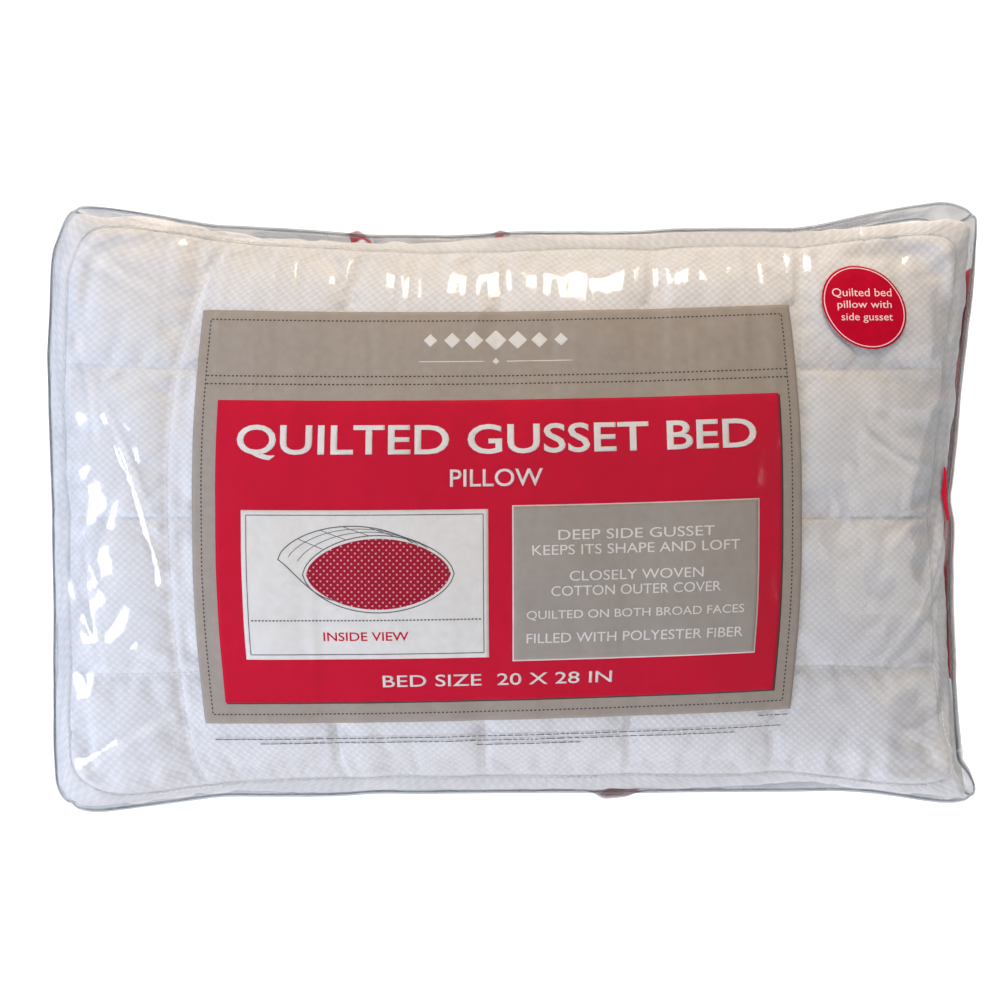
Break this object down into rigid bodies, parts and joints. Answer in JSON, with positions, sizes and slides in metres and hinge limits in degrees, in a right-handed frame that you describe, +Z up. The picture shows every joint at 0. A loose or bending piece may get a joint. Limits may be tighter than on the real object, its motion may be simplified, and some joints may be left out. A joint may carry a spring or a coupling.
{
  "type": "bed pillow",
  "caption": "Quilted, gusseted bed pillow with welted edges, sealed in a clear film bag with a printed front panel and a round sticker.",
  "frame": {"origin": "centre of the flat patch that the packed pillow rests on, under the middle of the pillow", "axes": "+X along the pillow's length, towards the side with the round sticker; +Y along its width, towards the top of the printed panel; +Z up, through the crown of the printed front"},
  "size_m": [0.7156, 0.4716, 0.1808],
  "materials": {
    "cover_cotton": "white jacquard dobby cotton, small raised diamonds",
    "quilt_thread": "white polyester sewing thread",
    "quilt_batting": "thin white fibre batting",
    "quilt_backing": "white spunbond backing",
    "fibre_fill": "loose white polyester fibre",
    "care_label_satin": "blank white woven satin",
    "bag_film": "clear polyethylene film, glossy and wrinkled",
    "bag_weld": "heat weld in clear film, slightly milky",
    "ink_taupe": "taupe ink printed on film",
    "ink_red": "crimson ink printed on film",
    "ink_white": "opaque white ink printed on film",
    "ink_grey": "warm grey ink printed on film",
    "ink_dark": "dark grey ink printed on film",
    "ink_picture": "red and grey line picture printed on film",
    "sticker_paper": "coated red paper sticker",
    "sticker_ink": "pale ink on the sticker"
  },
  "bodies": {
    "root": {"fibre_fill": "fibre_fill", "top_backing": "quilt_backing", "top_batting": "quilt_batting", "top_cover": "cover_cotton", "bottom_backing": "quilt_backing", "bottom_batting": "quilt_batting", "bottom_cover": "cover_cotton", "gusset_strip": "cover_cotton", "top_edge_welt": "cover_cotton", "bottom_edge_welt": "cover_cotton", "top_quilt_stitching": "quilt_thread", "bottom_quilt_stitching": "quilt_thread", "top_seam_thread": "quilt_thread", "bottom_seam_thread": "quilt_thread", "gusset_closing_stitches": "quilt_thread", "care_label": "care_label_satin", "bag_front_film": "bag_film", "bag_back_film": "bag_film", "bag_wall_top": "bag_film", "bag_wall_bottom": "bag_film", "bag_wall_left": "bag_film", "bag_wall_right": "bag_film", "bag_front_weld": "bag_weld", "bag_back_weld": "bag_weld", "bag_corner_welds": "bag_weld", "wall_print_bands": "ink_red", "label_ground": "ink_taupe", "label_stitch_border": "ink_dark", "label_red_field": "ink_red", "label_picture_panel": "ink_white", "label_pillow_picture": "ink_picture", "label_text_panel": "ink_grey", "label_lettering": "ink_white", "label_fine_print": "ink_dark", "round_sticker": "sticker_paper", "sticker_print": "sticker_ink"}
  },
  "joints": []
}
